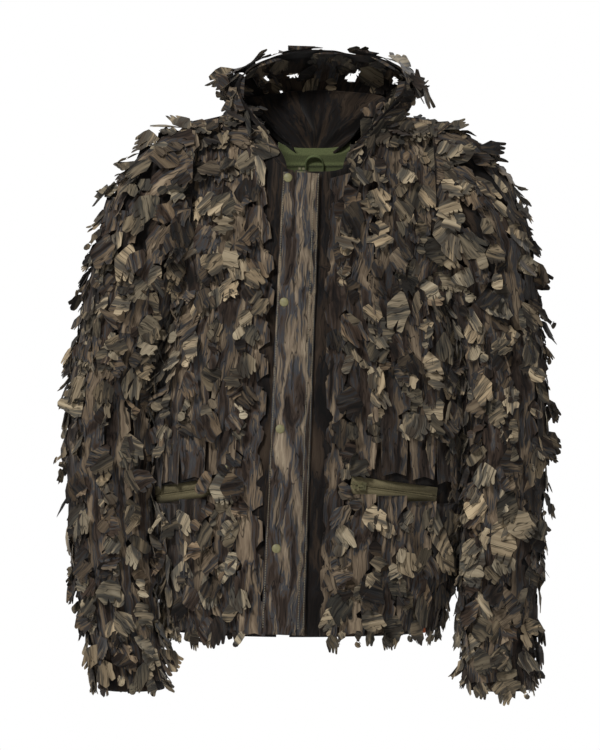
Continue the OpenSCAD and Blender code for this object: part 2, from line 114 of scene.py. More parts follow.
def lookup(x, table):
    if x <= table[0][0]:
        return table[0][1]
    for (x0, y0), (x1, y1) in zip(table, table[1:]):
        if x <= x1:
            return mix(y0, y1, (x - x0) / (x1 - x0))
    return table[-1][1]


HALF_WIDTHS = [
    (hem_z, hem_half_w), (-0.620, waist_half_w - 0.016), (-0.480, waist_half_w),
    (-0.350, waist_half_w - 0.004), (-0.260, 0.205), (ARMPIT_Z, 0.186), (YOKE_Z, YOKE_HALF_W), (0.06, 0.2),
]


def depth(z, facing):
    return NECK_DEPTH + (FRONT_NECK_Z - z) * tan(FRONT_SLOPE) if facing == FRONT else BACK_DEPTH


def body_high(k, phi, facing):
    x = YOKE_HALF_W * sin(phi)
    near_neck = min(1.0, abs(x) / NECK_HALF_W) ** 4
    turn = k * radians(mix(35.5 if facing == FRONT else 49.0, 89.5, near_neck))
    top = mix(SHOULDER_Z, ARMHOLE_Z, min(1.0, max(0.0, (abs(x) - NECK_HALF_W) / 0.074)))
    z = YOKE_Z + (top - YOKE_Z) * sin(turn)
    keep = max(0.0, cos(turn)) ** (1.8 if facing == FRONT else 0.8)
    if facing == FRONT:
        keep = mix(1.0, keep, ease((abs(x) - THROAT_HALF_W) / (NECK_HALF_W - THROAT_HALF_W)))
    return Vector((x + BODY_LEAN * z, BODY_Y + facing * depth(z, facing) * cos(phi) * keep, z))


def body(s, phi, facing):
    if s > 1:
        return body_high(min(1.0, (s - 1) * HIGH_RATE), phi, facing)
    z = mix(hem_z, YOKE_Z, s)
    x = lookup(z, HALF_WIDTHS) * sin(phi)
    return Vector((BODY_LEAN * z + x, BODY_Y + facing * depth(z, facing) * cos(phi), z))


def body_fold(p):
    upright = noise.noise(Vector((p.x * 22, p.y * 22, p.z * 3.5)))
    slack = noise.noise(Vector((p.x * 9 + 7, p.y * 9, p.z * 11)))
    crumple = noise.noise(Vector((p.x * 55, p.y * 55, p.z * 26 + 3)))
    return (4.2 * upright + 2.4 * slack + 1.3 * crumple - 1.0) * MM


def surface_frame(point, s, a, out):
    """Place, outward normal, downward and sideways directions of a surface at (s, a)."""
    p = point(s, a)
    along_s = point(s + 0.004, a) - point(s - 0.004, a)
    along_a = point(s, a + 0.012) - point(s, a - 0.012)
    normal = along_a.cross(along_s).normalized() * out
    return p, normal, along_s / 0.008, along_a / 0.024


def cloth_sheet(name, point, rows, cols, out, fold, wrap=False, thick=0.7 * MM, before=None):
    """A sheet through point(row, column), pushed along its normals by fold, with a flat-cloth UV in metres."""
    grid = [[point(s, a) for a in cols] for s in rows]
    count = len(cols)
    verts = []
    for i, row in enumerate(grid):
        for j, p in enumerate(row):
            up = grid[min(i + 1, len(grid) - 1)][j] - grid[max(i - 1, 0)][j]
            if wrap:
                side = row[(j + 1) % count] - row[j - 1]
            else:
                side = row[min(j + 1, count - 1)] - row[max(j - 1, 0)]
            verts.append(p + side.cross(up).normalized() * out * fold(p))
    faces = []
    for i in range(len(grid) - 1):
        for j in range(count if wrap else count - 1):
            k = (j + 1) % count
            faces.append((i * count + j, i * count + k, (i + 1) * count + k, (i + 1) * count + j))
    if out < 0:
        faces = [f[::-1] for f in faces]
    mesh = bpy.data.meshes.new(name)
    mesh.from_pydata(verts, [], faces)
    spans = count if wrap else count - 1
    widths = [[(row[(j + 1) % count] - row[j]).length for j in range(spans)] for row in grid]
    lengths = [[(grid[i + 1][j] - grid[i][j]).length for i in range(len(grid) - 1)] for j in range(count)]
    across = [0.0]
    for j in range(spans):
        across.append(across[-1] + sum(row[j] for row in widths) / len(widths))
    down = [0.0]
    for i in range(len(grid) - 1):
        down.append(down[-1] + sum(column[i] for column in lengths) / count)
    cut_area = sum(geometry.area_tri(grid[a][b], grid[c][d], grid[e][f]) for i in range(len(grid) - 1)
                   for j in range(spans) for a, b, c, d, e, f in (
                       (i, j, i + 1, j, i + 1, (j + 1) % count), (i, j, i + 1, (j + 1) % count, i, (j + 1) % count)))
    print_map = mesh.uv_layers.new(name="print")
    for face in mesh.polygons:
        for loop in face.loop_indices:
            v = mesh.loops[loop].vertex_index
            i, j = divmod(v, count)
            if wrap and j == 0 and any(mesh.loops[l].vertex_index % count == count - 1 for l in face.loop_indices):
                j = count
            print_map.data[loop].uv = (across[j], down[i])
        face.use_smooth = True
    obj = new_object(name, mesh)
    if before:
        before(mesh)
    thicken(obj, thick, -1.0)
    return obj


def thicken(obj, thick, offset):
    """Gives a sheet its thickness: offset -1 puts it behind the face, 0 on both sides."""
    modifier = obj.modifiers.new("thickness", "SOLIDIFY")
    modifier.thickness = thick
    modifier.offset = offset
    modifier.use_even_offset = False
    depsgraph = bpy.context.evaluated_depsgraph_get()
    mesh = bpy.data.meshes.new_from_object(obj.evaluated_get(depsgraph))
    obj.modifiers.clear()
    obj.data = mesh


def srgb(code):
    """A web colour as linear light."""
    parts = [int(code[i:i + 2], 16) / 255 for i in (1, 3, 5)]
    return tuple(c / 12.92 if c <= 0.04045 else ((c + 0.055) / 1.055) ** 2.4 for c in parts) + (1.0,)


def add(tree, kind, settings=None, links=None, ramp=None):
    """Adds a node: settings are its properties or input values, links its inputs, ramp its colour stops."""
    made = tree.nodes.new("ShaderNode" + kind)
    for key, value in (settings or {}).items():
        if key in made.inputs:
            made.inputs[key].default_value = value
        else:
            setattr(made, key, value)
    for key, source in (links or {}).items():
        tree.links.new(source, made.inputs[key])
    if ramp:
        stops = made.color_ramp.elements
        while len(stops) < len(ramp):
            stops.new(0.5)
        for stop, (place, colour) in zip(stops, ramp):
            stop.position = place
            stop.color = srgb(colour)
    return made


def new_material(name, roughness, **values):
    made = bpy.data.materials.new(name)
    made.use_nodes = True
    shader = made.node_tree.nodes["Principled BSDF"]
    shader.inputs["Roughness"].default_value = roughness
    for key, value in values.items():
        shader.inputs[key.replace("_", " ")].default_value = value
    return made, made.node_tree, shader


def bark_cloth(name, stops, stripe, fibre, shade, tone=False):
    """Woven polyester heat-printed with upright bark: plates between dark furrows, with fine fibres over them.
    The matt brushed face gives a little pale sheen at grazing angles; the weave only shows as a fine tooth.
    stripe and fibre are the width and length, in mm, of the plates and of the fibres over them."""
    made, tree, shader = new_material(name, 0.88, Sheen_Weight=0.10, Sheen_Roughness=0.5, Specular_IOR_Level=0.2)
    uv = add(tree, "UVMap", {"uv_map": "print"})
    bend_wide, bend_long = 38 * MM, 52 * MM
    bends = add(tree, "Mapping", {"Scale": (1 / bend_wide, 1 / bend_long, 1)}, {"Vector": uv.outputs["UV"]})
    bend = add(tree, "TexNoise", {"Scale": 1.0, "Detail": 2.0, "Roughness": 0.55},
               {"Vector": bends.outputs["Vector"]})
    swing = add(tree, "VectorMath", {"operation": "MULTIPLY_ADD"},
                {0: bend.outputs["Color"], 2: uv.outputs["UV"]})
    swing.inputs[1].default_value = (15 * MM, 45 * MM, 0)

    def streaks(wide, long, shift, **settings):
        at = add(tree, "Mapping", {"Scale": (1 / (wide * MM), 1 / (long * MM), 1), "Location": (shift, shift, 0)},
                 {"Vector": swing.outputs["Vector"]})
        made = add(tree, "TexNoise", {"Scale": 1.0, **settings}, {"Vector": at.outputs["Vector"]})
        return made.outputs["Fac"]

    plates = streaks(*stripe, 0.0, Detail=3.0, Roughness=0.55, Distortion=0.8)
    fibres = streaks(*fibre, 5.0, Detail=3.0, Roughness=0.65, Distortion=0.6)
    patches = streaks(70, 160, 9.0, Detail=2.0)
    fine = add(tree, "Mix", {"Factor": 0.27}, {"A": plates, "B": fibres}).outputs["Result"]
    level = add(tree, "Mix", {"Factor": 0.20}, {"A": fine, "B": patches}).outputs["Result"]
    colours = add(tree, "ValToRGB", None, {"Fac": level}, stops)
    furrows = streaks(11, 95, 13.0, Detail=2.0, Distortion=1.2)
    furrow = add(tree, "ValToRGB", None, {"Fac": furrows},
                 [(0.470, "#ffffff"), (0.492, "#2e2a28"), (0.505, "#2e2a28"), (0.520, "#ffffff")])
    colour = colours.outputs["Color"]
    layers = [(0.8, furrow.outputs["Color"])]
    if tone:
        layers.append((1.0, add(tree, "Attribute", {"attribute_name": "tone"}).outputs["Color"]))
    layers.append((1.0, None))
    for share, layer in layers:
        mixed = add(tree, "Mix", {"data_type": "RGBA", "blend_type": "MULTIPLY", "Factor": share},
                    {6: colour})
        if layer:
            tree.links.new(layer, mixed.inputs[7])
        colour = mixed.outputs[2]
    mixed.inputs[7].default_value = srgb(shade)
    tree.links.new(colour, shader.inputs["Base Color"])
    weave = streaks(0.8, 0.8, 0.0, Detail=2.0)
    tooth = add(tree, "Bump", {"Strength": 0.35, "Distance": 0.25 * MM}, {"Height": weave})
    tree.links.new(tooth.outputs["Normal"], shader.inputs["Normal"])
    return made


BARK_STOPS = [
    (0.37, "#15110f"), (0.43, "#2f2621"), (0.470, "#463c35"), (0.485, "#3a3c42"), (0.510, "#43454a"),
    (0.525, "#655a4d"), (0.575, "#7e7264"), (0.64, "#9d917f"),
]
# The base cloth's shade #665c55 is far darker than the flap's #fbf6ee on the same shell cloth. This is partly the
# cloth's own dark brown and partly painted shade that deepens the gaps between the ribbons and under the leaves.
base_cloth_with_painted_shade = bark_cloth("printed_woven_polyester_base_and_painted_shade", BARK_STOPS, (17, 95), (4.0, 36), "#665c55")


def steps(a, b, count):
    return [mix(a, b, i / count) for i in range(count + 1)]


def end_angle(z):
    """Where a panel ends: at the side seam, and above the armpit at the armhole."""
    return radians(89.5) if z <= ARMPIT_Z + 0.020 else asin(ARMHOLE_X / YOKE_HALF_W)


ZIP_LEAN = radians(2.3)
ZIP_X = -0.019
FRONT_GAP = 0.009


def front_edge(z, side):
    x = ZIP_X + (z - FRONT_NECK_Z) * sin(ZIP_LEAN) + side * FRONT_GAP - BODY_LEAN * z
    return asin(x / lookup(min(z, YOKE_Z), HALF_WIDTHS))


def panel_point(facing, side, start):
    def point(s, v):
        z = mix(hem_z, YOKE_Z, min(s, 1.0))
        return body(s, mix(start(z), end_angle(z) * side, v), facing)
    return point


POCKETS = {
    RIGHT: (Vector((-0.1246, -0.1733, -0.474)), Vector((-0.2209, -0.1108, -0.4901))),
    LEFT: (Vector((0.0602, -0.1833, -0.474)), Vector((0.1667, -0.1404, -0.4901))),
}
SLOT_BEFORE, SLOT_AFTER, SLOT_HALF = 0.014, 0.122, 0.0125


def drop_faces(bm, mesh, gone):
    """Deletes the faces whose middle is gone and gives the rest to the mesh."""
    faces = [f for f in bm.faces if gone(f.calc_center_median())]
    bmesh.ops.delete(bm, geom=faces, context="FACES")
    bm.to_mesh(mesh)
    bm.free()


def cut_pocket_slot(mesh, side):
    """Opens the slot that the pocket zip's tapes fill, along the zip's own line."""
    start, end = POCKETS[side]
    along = (end - start).normalized()
    across = (Vector((0, 0, 1)) - along * along.z).normalized()
    sides = [(start - along * SLOT_BEFORE, -along), (start + along * SLOT_AFTER, along),
             (start - across * SLOT_HALF, -across), (start + across * SLOT_HALF, across)]
    bm = bmesh.new()
    bm.from_mesh(mesh)
    for place, normal in sides:
        near = [f for f in bm.faces if all((f.calc_center_median() - p).dot(n) < 0.02 for p, n in sides)]
        geom = set(near) | {e for f in near for e in f.edges} | {v for f in near for v in f.verts}
        bmesh.ops.bisect_plane(bm, geom=list(geom), plane_co=place, plane_no=normal)
    drop_faces(bm, mesh, lambda c: all((c - p).dot(n) < 0 for p, n in sides))


ARMHOLE_S = (ARMPIT_Z - hem_z) / (YOKE_Z - hem_z)
body_rows = steps(0, ARMHOLE_S, 84) + steps(ARMHOLE_S, 1, 8)[1:] + steps(1, 1 + 1 / HIGH_RATE, 24)[1:]
panels = {}
for name, facing, side in (("front_right_panel", FRONT, RIGHT), ("front_left_panel", FRONT, LEFT),
                           ("back_panel", BACK, LEFT)):
    start = (lambda z: -end_angle(z)) if facing == BACK else (lambda z: front_edge(z, side))
    out = 1 if (facing == FRONT) == (side == LEFT) else -1
    cols = steps(0, 1, 72 if facing == BACK else 44)
    slot = (lambda mesh: cut_pocket_slot(mesh, side)) if facing == FRONT else None
    panels[name] = cloth_sheet(name + "_cloth", panel_point(facing, side, start), body_rows, cols, out, body_fold,
                               before=slot)
    panels[name].data.materials.append(base_cloth_with_painted_shade)
    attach(panels[name], "jacket")
    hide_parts(name)


# ---------- Sleeves and cuffs ----------
# Each sleeve is one tube of the same cloth set into the armhole, ending in a turned and stitched cuff.
# It is made in two lengths that meet unseen above the elbow.
ARM_R = 0.060
CUFF_R = 0.045
cuff_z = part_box("cuff_left")[0][2]
SLEEVE_RINGS = [
    (0.178, -0.181, 0.167, 0.037, BODY_Y, ARM_R - 0.004),
    (0.190, -0.188, 0.214, 0.024, BODY_Y, ARM_R),
    (0.192, -0.195, 0.250, -0.006, BODY_Y, ARM_R + 0.001),
    (0.192, -0.202, 0.280, -0.054, BODY_Y, ARM_R),
    (0.191, -0.212, 0.301, -0.112, BODY_Y, ARM_R),
    (0.191, -0.226, 0.313, -0.180, BODY_Y, ARM_R),
    (0.204, -0.262, 0.321, -0.258, BODY_Y, ARM_R),
    (0.217, -0.340, 0.328, -0.340, -0.078, ARM_R - 0.003),
    (0.218, -0.430, 0.327, -0.430, -0.082, ARM_R - 0.005),
    (0.212, -0.520, 0.322, -0.520, -0.088, ARM_R - 0.007),
    (0.208, -0.620, 0.314, -0.620, -0.096, CUFF_R + 0.005),
    (0.214, -0.700, 0.308, -0.700, -0.102, CUFF_R + 0.001),
    (0.217, cuff_z, 0.307, cuff_z, -0.106, CUFF_R),
]
RIGHT_SPREAD = [(cuff_z, -0.002), (-0.700, 0.008), (-0.620, 0.022), (-0.520, 0.024), (-0.340, 0.020),
                (ARMPIT_Z, 0.0075), (-0.060, 0.0015), (0.040, 0.0006)]


def sleeve(s, w, side):
    inset = 0.045 * max(0.0, -s) * max(0.0, -cos(w))
    s = min(max(s, 0.0), len(SLEEVE_RINGS) - 1.0)
    i = min(int(s), len(SLEEVE_RINGS) - 2)
    r = [mix(a, b, s - i) for a, b in zip(SLEEVE_RINGS[i], SLEEVE_RINGS[i + 1])]
    share = (1 + cos(w)) / 2
    z = mix(r[1], r[3], share)
    x = mix(r[0], r[2], share) - inset
    if side == RIGHT:
        x += lookup(z, RIGHT_SPREAD)
    return Vector((side * x, r[4] + r[5] * sin(w), z))


def sleeve_fold(p):
    turn = atan2(p.y + 0.08, abs(p.x) - 0.265)
    slant = noise.noise(Vector((turn * 1.3, p.z * 16, p.x * 3)))
    upright = noise.noise(Vector((turn * 2.6, p.z * 4, 5 + p.x * 2)))
    crumple = noise.noise(Vector((p.x * 55, p.y * 55, p.z * 30)))
    near_cuff = ease((p.z - cuff_z) / 0.05)
    return (3.6 * slant + 3.4 * upright + 1.4 * crumple - 1.0) * MM * mix(0.3, 1.0, near_cuff)


SHOULDER_BLEND = ((0.215, BODY_Y, -0.139), (0.321, BODY_Y, -0.245))
SPLIT_S = 6.2
CUFF_TOP_S = 11.55


def blend_sleeve(obj, side, part):
    if part == "upper":
        start, end = [(side * p[0], p[1], p[2]) for p in SHOULDER_BLEND]
        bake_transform(obj)
        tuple(start)
        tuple(end)
    else:
        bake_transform(obj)


around = [j * 2 * pi / 56 for j in range(56)]
for side, name in ((RIGHT, "right"), (LEFT, "left")):
    for part, s0, s1, count in (("upper", -0.55, SPLIT_S, 68), ("lower", SPLIT_S, CUFF_TOP_S, 96)):
        tube = cloth_sheet(part + "_sleeve_" + name + "_cloth", lambda s, w: sleeve(s, w, side),
                           steps(s1, s0, count), around, side, sleeve_fold, wrap=True)
        tube.data.materials.append(base_cloth_with_painted_shade)
        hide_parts(part + "_sleeve_" + name)
        blend_sleeve(tube, side, part)
    band = cloth_sheet("cuff_" + name + "_cloth", lambda s, w: sleeve(s, w, side),
                       steps(12.0, CUFF_TOP_S, 8), around, side, lambda p: sleeve_fold(p) + 0.9 * MM,
                       wrap=True, thick=1.6 * MM)
    band.data.materials.append(base_cloth_with_painted_shade)
    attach(band, "lower_sleeve_" + name)
    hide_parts("cuff_" + name)


# ---------- Hood ----------
# The same cloth cut in two sides and a middle, sewn round the neck. It stands open like a funnel and its
# plain inner face shows through the opening.
HOOD_CROWN = [(0, 0.008), (0.2, 0.052), (0.4, 0.096), (0.6, 0.126), (0.8, 0.144), (1, 0.150)]
HOOD_SPINE = [(0, 0.014), (0.2, 0.024), (0.4, 0.033), (0.6, 0.024), (0.8, -0.014), (1, -0.060)]
HOOD_BULGE = [(0, 0.0), (0.2, 0.024), (0.4, 0.053), (0.6, 0.075), (0.8, 0.090), (1, 0.097)]
hood_front_turn = pi - asin(THROAT_HALF_W / NECK_HALF_W)


def hood(f, t):
    """The hood from its neck seam, f = 0, to its rim, f = 1; t runs from one side over the back to the other."""
    f = min(max(f, 0.0), 1.0)
    turn = mix(radians(10), hood_front_turn, f)
    w = NECK_HALF_W * sin(turn)
    seam = body_high(1.0, asin(w / YOKE_HALF_W), FRONT if turn > pi / 2 else BACK)
    x = w * sin(t) + lookup(f, HOOD_BULGE) * sin(2 * t) * (1 - 1.15 * (t / (pi / 2)) ** 4)
    y = mix(seam.y, lookup(f, HOOD_SPINE), cos(t))
    z = mix(seam.z - 0.006, lookup(f, HOOD_CROWN), cos(t))
    return Vector((x + 0.1 * max(0.0, z), y, z))


def hood_fold(p):
    sweep = noise.noise(Vector((p.x * 14, p.y * 10 + p.z * 12, 2.0)))
    crumple = noise.noise(Vector((p.x * 40, p.y * 40, p.z * 34)))
    held = ease((p.z - 0.01) / 0.06)
    return (6.0 * sweep + 2.2 * crumple - 1.5) * MM * mix(0.15, 1.0, held)


SEE_THROUGH = [(-0.104, 0.118, 0.006, 0.005), (-0.071, 0.116, 0.004, 0.004), (-0.029, 0.121, 0.010, 0.004),
               (-0.048, 0.097, 0.003, 0.003), (-0.036, 0.096, 0.004, 0.002), (-0.012, 0.094, 0.004, 0.003),
               (0.055, 0.118, 0.009, 0.007), (0.064, 0.125, 0.006, 0.004), (0.118, 0.112, 0.005, 0.006),
               (0.128, 0.106, 0.006, 0.004), (0.139, 0.098, 0.004, 0.006)]


def punch(mesh):
    """Opens the places where the cut-outs of the layers lie over each other at the back of the hood."""
    bm = bmesh.new()
    bm.from_mesh(mesh)
    drop_faces(bm, mesh, lambda c: c.y > -0.09 and any(
        ((c.x - x) / w) ** 2 + ((c.z - z) / h) ** 2 < 1 for x, z, w, h in SEE_THROUGH))


def blend_hood(obj):
    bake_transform(obj)


HOOD_SPAN, LINING_SPAN = radians(88.6), radians(80)
hood_shell = cloth_sheet("hood_cloth", hood, steps(0, 1, 96), steps(-HOOD_SPAN, HOOD_SPAN, 150), -1, hood_fold,
                         before=punch)
hood_shell.data.materials.append(base_cloth_with_painted_shade)
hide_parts("hood_shell")
blend_hood(hood_shell)


def lining_point(f, t):
    """The inner face of the hood, set in from the shell by large and small creases that fan from the neck."""
    p = hood(f, t)
    fan = abs(sin(2.7 * t + 3.6 * f * cos(1.6 * t) + 0.7 * sin(4 * t) + 0.5))
    small = abs(sin(6.5 * t - 8.0 * f + 1.0))
    depth_in = 4.5 + (18.0 * (1 - fan) + 5.0 * (1 - small)) * ease(f / 0.16)
    centre = Vector((0.01, -0.05, mix(p.z, 0.06, 0.3)))
    return p + (centre - p).normalized() * depth_in * MM


hood_lining = cloth_sheet("hood_lining_cloth", lining_point, steps(0.012, 0.43, 48),
                          steps(-LINING_SPAN, LINING_SPAN, 130), -1, lambda p: 0.0)
hood_lining.data.materials.append(base_cloth_with_painted_shade)
blend_hood(hood_lining)


# ---------- Leaf strips ----------
# Ribbons of the same cloth, printed paler, die-cut along both sides into hanging leaves and stitched to the
# shell down their middles. The cut flaps curl out and leave kite and round holes in the ribbon.
LEAF_STOPS = [
    (0.33, "#2b2622"), (0.42, "#4b453e"), (0.465, "#53524f"), (0.495, "#6d675c"), (0.53, "#958a78"),
    (0.62, "#b9af9b"),
]
ribbon_cloth = bark_cloth("printed_die_cut_ribbon", BARK_STOPS, (17, 85), (4.0, 34), "#f0e9e0", True)
leaf_cloth = bark_cloth("printed_die_cut_leaf", LEAF_STOPS, (17, 120), (5.0, 46), "#fffaf2", True)
LEAF_THICK = 0.35 * MM
rng = random.Random(41)


def kite(length, width, fingers):
    """Outline of a kite leaf: its stem at the origin, square shoulders and a torn lower edge in blunt fingers."""
    half = width / 2
    points = [(-2.5, 0), (-half * 0.62, -length * 0.22), (-half, -length * 0.44), (-half * 0.82, -length * 0.62)]
    for k in range(fingers):
        x0 = mix(-half * 0.80, half * 0.78, k / fingers)
        x1 = mix(-half * 0.80, half * 0.78, (k + 0.66) / fingers)
        tip = -length * rng.uniform(0.84, 1.0)
        points += [(x0, tip + 2.5), (x0 + 1, tip), (x1 - 1.2, tip + 0.6), (x1, tip + 3)]
        if k < fingers - 1:
            points.append((x1 + 0.9, -length * rng.uniform(0.66, 0.76)))
    return points + [(half * 0.9, -length * 0.60), (half, -length * 0.42), (half * 0.6, -length * 0.2), (2.5, 0)]


def ball_stem(length, radius, stem):
    """Outline of a small kite on a stem that ends in a round drop."""
    hip = rng.uniform(1.0, 2.6)
    points = [(-stem, 0), (-stem * hip, -length * 0.25), (-stem * 0.8, -length * 0.5),
              (-stem * 0.7, -length + radius * 1.8)]
    for k in range(9):
        turn = radians(mix(205, 515, k / 8) - 180) + pi / 2
        points.append((-radius * sin(turn), -length + radius + radius * cos(turn)))
    points += [(stem * 0.7, -length + radius * 1.8), (stem * 0.8, -length * 0.5), (stem * hip, -length * 0.3)]
    return points + [(stem, 0)]


def lobed(length, width):
    """Outline of a ragged leaf with two blunt lobes a side and a square end."""
    left = []
    for k in range(2):
        y = -length * (0.16 + 0.36 * k)
        reach = width / 2 * (0.95, 1.05)[k] * rng.uniform(0.8, 1.1)
        left += [(-reach * 0.5, y + 3), (-reach, y - 2), (-reach * 0.92, y - length * 0.20)]
        left.append((-width * rng.uniform(0.16, 0.3), y - length * 0.24))
    right = [(-x * rng.uniform(0.8, 1.1), y + rng.uniform(-2, 2)) for x, y in reversed(left)]
    end = [(-4, -length), (-0.6, -length * 0.93), (0.8, -length * 0.86), (4, -length * 0.98)]
    return [(-2.5, 0)] + left + end + right + [(2.5, 0)]


def thumb(length, width):
    """Outline of a plain tab with a rounded end."""
    half = width / 2
    round_end = [(-half * cos(a), -length + half - half * sin(a)) for a in steps(0.2, pi - 0.2, 6)]
    return [(-half * 0.6, 0), (-half, -length * 0.3)] + round_end + [(half, -length * 0.3), (half * 0.6, 0)]


def leaf_outline():
    """One of the four families, at random: half are kites."""
    kind = rng.random()
    if kind < 0.50:
        return kite(rng.uniform(38, 54), rng.uniform(26, 38), rng.choice((2, 3, 3, 4)))
    if kind < 0.70:
        return ball_stem(rng.uniform(30, 46), rng.uniform(6.5, 9.0), rng.uniform(3.5, 5.5))
    if kind < 0.86:
        return lobed(rng.uniform(36, 52), rng.uniform(26, 36))
    return thumb(rng.uniform(26, 38), rng.uniform(12, 18))


def inside(p, outline):
    """Whether the flat point p lies within the outline."""
    hit = False
    for (x0, y0), (x1, y1) in zip(outline, outline[1:] + outline[:1]):
        if (y0 > p[1]) != (y1 > p[1]) and p[0] < (x1 - x0) * (p[1] - y0) / (y1 - y0) + x0:
            hit = not hit
    return hit


def cut(outline, holes=(), pitch=6.0):
    """Flat triangles of an outline with holes, with points inside so that it can bend."""
    points = [Vector(p) for p in outline]
    edges = [(i, (i + 1) % len(outline)) for i in range(len(outline))]
    for hole in holes:
        first = len(points)
        points += [Vector(p) for p in hole]
        edges += [(first + i, first + (i + 1) % len(hole)) for i in range(len(hole))]
    xs = [p[0] for p in outline]
    ys = [p[1] for p in outline]
    y = min(ys) + pitch / 2
    while y < max(ys):
        x = min(xs) + pitch / 2
        while x < max(xs):
            if inside((x, y), outline) and not any(inside((x, y), h) for h in holes):
                points.append(Vector((x, y)))
            x += pitch
        y += pitch
    verts, _, faces, *_ = geometry.delaunay_2d_cdt(points, edges, [], 0, 1e-4)
    kept = []
    for f in faces:
        c = (sum(verts[i].x for i in f) / 3, sum(verts[i].y for i in f) / 3)
        if inside(c, outline) and not any(inside(c, h) for h in holes):
            kept.append(f)
    return verts, kept


class Pile:
    """Gathers the triangles of one piece, with the print map and tone of each."""

    def __init__(self):
        self.verts, self.faces, self.uvs, self.tones, self.cloths = [], [], [], [], []

    def add(self, places, faces, prints, tone, cloth):
        first = len(self.verts)
        self.verts += places
        self.faces += [tuple(first + i for i in f) for f in faces]
        self.uvs += prints
        self.tones += [tone] * len(places)
        self.cloths += [cloth] * len(faces)

    def make(self, name, cloths, thick=None):
        mesh = bpy.data.meshes.new(name)
        mesh.from_pydata(self.verts, [], self.faces)
        print_map = mesh.uv_layers.new(name="print")
        for loop in mesh.loops:
            print_map.data[loop.index].uv = self.uvs[loop.vertex_index]
        tones = mesh.color_attributes.new("tone", "FLOAT_COLOR", "POINT")
        for i, tone in enumerate(self.tones):
            tones.data[i].color = (*tone, 1.0)
        for cloth in cloths:
            mesh.materials.append(cloth)
        for face, cloth in zip(mesh.polygons, self.cloths):
            face.use_smooth = True
            face.material_index = cloth
        obj = new_object(name, mesh)
        if thick:
            thicken(obj, thick, 0.0)
            obj.data.set_sharp_from_angle(angle=radians(35))
        return obj


def turned_print(verts, turn):
    """Print map of a cut shape: the cloth was printed before cutting, at its own angle."""
    shift = (rng.uniform(0, 3), rng.uniform(0, 3))
    c, s = cos(turn), sin(turn)
    return [((v.x * c - v.y * s) * MM + shift[0], (v.x * s + v.y * c) * MM + shift[1]) for v in verts]


def leaf_tone():
    """How dark and how warm one flap came out of the printing."""
    level = rng.choice((0.32, 0.48, 0.62, 0.80, 1.0, 1.05))
    warm = rng.uniform(-0.02, 0.09)
    return (level * (1 + warm), level, level * (0.97 - warm))


PALE_SHARE = 0.62  # of the flaps come from the paler print
MOST_PROUD = 24  # mm: no leaf stands off its ribbon by more than this


def hang_leaf(pile, root, normal, down, across, lean, size, stand, tone):
    """Cuts a leaf and hangs it from root: it leaves the ribbon at a slant, stands off it and curls."""
    verts, faces = cut(leaf_outline(), pitch=7.5)
    run = (down * cos(lean) + across * sin(lean)).normalized()
    side = run.cross(normal).normalized()
    lift = rng.uniform(0.06, 0.48) * stand
    curl = rng.uniform(-0.9, 1.4) / 50 * stand
    twist = rng.uniform(-0.6, 0.6) / 50
    cup = rng.uniform(-0.006, 0.010)
    fold, crease = rng.uniform(-0.35, 0.45), rng.uniform(-6, 6)
    seed = rng.uniform(0, 50)
    places = []
    for v in verts:
        t = -v.y * size
        angle = lift + curl * t
        if abs(curl) > 1e-4:
            along, off = (sin(angle) - sin(lift)) / curl, (cos(lift) - cos(angle)) / curl
        else:
            along, off = cos(lift) * t, sin(lift) * t
        x = v.x * size
        ripple = noise.noise(Vector((v.x * 0.09, v.y * 0.09, seed)))
        off += cup * x * x + fold * max(0.0, x - crease) + 0.9 * ripple
        if off > 0:
            off = MOST_PROUD * (1 - exp(-off / MOST_PROUD))
        roll = twist * t
        places.append(root + run * along * MM + side * (x * cos(roll)) * MM
                      + normal * (max(off + x * sin(roll), -1.0 - 0.02 * t) + 0.6) * MM)
    prints = turned_print(verts, rng.uniform(-1.5, 1.5))
    pile.add(places, faces, prints, [c * tone for c in leaf_tone()], int(rng.random() < PALE_SHARE))


ENDS_CLEAR, POCKET_CLEAR = 26, 86  # mm at the bottom of a ribbon without flaps


